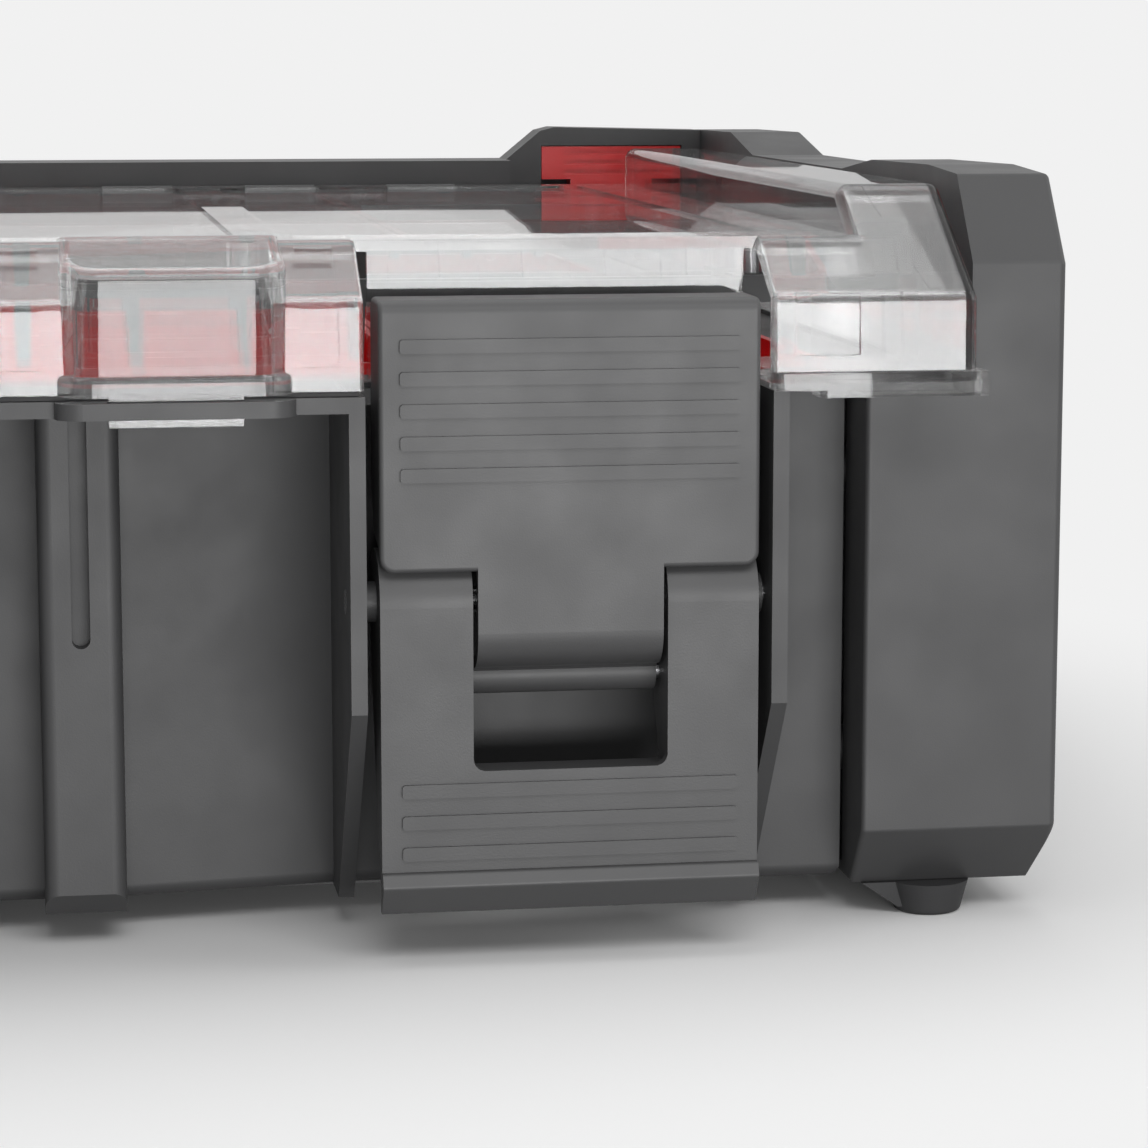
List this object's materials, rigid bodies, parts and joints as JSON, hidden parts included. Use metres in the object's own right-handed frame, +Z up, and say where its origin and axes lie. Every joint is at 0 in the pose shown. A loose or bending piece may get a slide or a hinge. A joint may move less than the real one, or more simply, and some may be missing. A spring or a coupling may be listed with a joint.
{
  "type": "compartment organizer box",
  "caption": "Stackable organizer box with removable bins under a clear hinged lid, closed by two-piece toggle latches, with side grips and corner towers.",
  "frame": {"origin": "middle of the footprint, on the surface that the box stands on", "axes": "+X to the right seen from the latch side, +Y to the hinge side, +Z up"},
  "size_m": [0.45, 0.339, 0.1635],
  "materials": {
    "base_grey": "fine moulded grain",
    "wing_grey": "fine moulded grain",
    "rail_grey": "fine moulded grain",
    "foot_grey": "plain moulded",
    "latch_grey": "fine moulded grain",
    "comb_grey": "plain moulded",
    "bin_red": "semi-gloss moulded",
    "lock_red": "semi-gloss moulded",
    "lid_clear": "clear polished",
    "divider_clear": "frosted",
    "seal_rubber": "soft",
    "pin_steel": "ground",
    "screw_steel": "zinc plated"
  },
  "bodies": {
    "base": {"base_tub": "base_grey", "side_wing_left": "wing_grey", "side_wing_right": "wing_grey", "rear_rail": "rail_grey", "wing_screws": "screw_steel", "rail_screws": "screw_steel", "hinge_pin_left": "pin_steel", "hinge_pin_right": "pin_steel", "lever_pin_left": "pin_steel", "lever_pin_right": "pin_steel", "lock_spring_left": "pin_steel", "lock_spring_right": "pin_steel", "foot_front_left": "foot_grey", "foot_front_right": "foot_grey", "foot_rear_left": "foot_grey", "foot_rear_right": "foot_grey", "bin_front_1": "bin_red", "bin_front_2": "bin_red", "bin_front_3": "bin_red", "bin_front_4": "bin_red", "bin_large_left": "bin_red", "bin_large_right": "bin_red", "bin_wide": "bin_red", "bin_rear_left": "bin_red", "bin_rear_right": "bin_red", "divider_large_left": "divider_clear", "divider_large_right": "divider_clear", "divider_wide": "divider_clear"},
    "lid": {"lid_shell": "lid_clear", "lid_seal": "seal_rubber", "hold_down_comb_front": "comb_grey", "hold_down_comb_rear": "comb_grey", "comb_screws": "screw_steel"},
    "lever_left": {"latch_lever_left": "latch_grey", "hook_pin_left": "pin_steel"},
    "hook_left": {"latch_hook_left": "latch_grey"},
    "lock_left": {"stack_lock_left": "lock_red"},
    "lever_right": {"latch_lever_right": "latch_grey", "hook_pin_right": "pin_steel"},
    "hook_right": {"latch_hook_right": "latch_grey"},
    "lock_right": {"stack_lock_right": "lock_red"}
  },
  "joints": [
    {"name": "lid_hinge", "type": "hinge", "parent": "base", "child": "lid", "pos_m": [0, 0.1385, 0.1438], "axis": [-1, 0, 0], "range_deg": [0, 95]},
    {"name": "lever_hinge_left", "type": "hinge", "parent": "base", "child": "lever_left", "pos_m": [-0.116, -0.152, 0.0745], "axis": [-1, 0, 0], "range_deg": [0, 102]},
    {"name": "hook_hinge_left", "type": "hinge", "parent": "lever_left", "child": "hook_left", "pos_m": [-0.116, -0.151, 0.0585], "axis": [-1, 0, 0], "range_deg": [-107.1, 0]},
    {"name": "lock_slide_left", "type": "slide", "parent": "base", "child": "lock_left", "axis": [0, 0, -1], "range_m": [0, 0.004], "stiffness_N_per_m": 400, "springref_m": -0.002, "deforming": ["lock_spring_left"]},
    {"name": "lever_hinge_right", "type": "hinge", "parent": "base", "child": "lever_right", "pos_m": [0.116, -0.152, 0.0745], "axis": [-1, 0, 0], "range_deg": [0, 102]},
    {"name": "hook_hinge_right", "type": "hinge", "parent": "lever_right", "child": "hook_right", "pos_m": [0.116, -0.151, 0.0585], "axis": [-1, 0, 0], "range_deg": [-107.1, 0]},
    {"name": "lock_slide_right", "type": "slide", "parent": "base", "child": "lock_right", "axis": [0, 0, -1], "range_m": [0, 0.004], "stiffness_N_per_m": 400, "springref_m": -0.002, "deforming": ["lock_spring_right"]}
  ],
  "couplings": [
    {"joint": "hook_hinge_left", "follows": "lever_hinge_left", "ratio": -1.05},
    {"joint": "hook_hinge_right", "follows": "lever_hinge_right", "ratio": -1.05}
  ]
}
